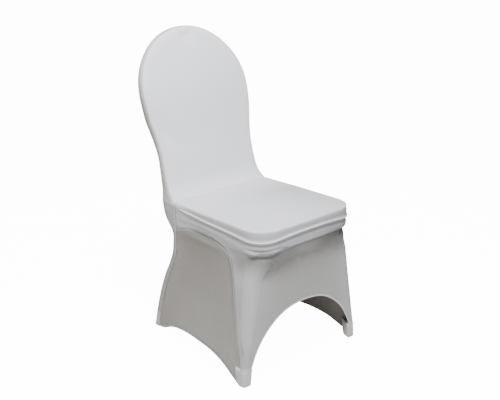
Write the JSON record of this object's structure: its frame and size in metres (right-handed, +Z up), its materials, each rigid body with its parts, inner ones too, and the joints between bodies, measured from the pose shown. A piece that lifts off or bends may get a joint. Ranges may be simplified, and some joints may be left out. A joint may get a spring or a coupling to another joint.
{
  "type": "stretch chair cover",
  "caption": "Fitted white stretch knit cover for a round-topped banquet chair, with arched skirt hems and closed foot pockets.",
  "frame": {"origin": "bottom centre of the cover's bounding box, on the floor under the seat", "axes": "+Z up from the floor, -Y the way a sitter faces, +X to the cover's right as seen from the front camera"},
  "size_m": [0.465, 0.5789, 0.9385],
  "materials": {
    "front_panel": "smooth white stretch knit with a faint sheen",
    "back_panel": "smooth white stretch knit with a faint sheen",
    "side_panel": "smooth white stretch knit with a faint sheen",
    "foot_pocket": "doubled white knit patch, slightly denser"
  },
  "bodies": {
    "root": {"front_panel": "front_panel", "back_panel": "back_panel", "side_panel_left": "side_panel", "side_panel_right": "side_panel", "foot_pocket_front_left": "foot_pocket", "foot_pocket_front_right": "foot_pocket", "foot_pocket_rear_left": "foot_pocket", "foot_pocket_rear_right": "foot_pocket"}
  },
  "joints": []
}
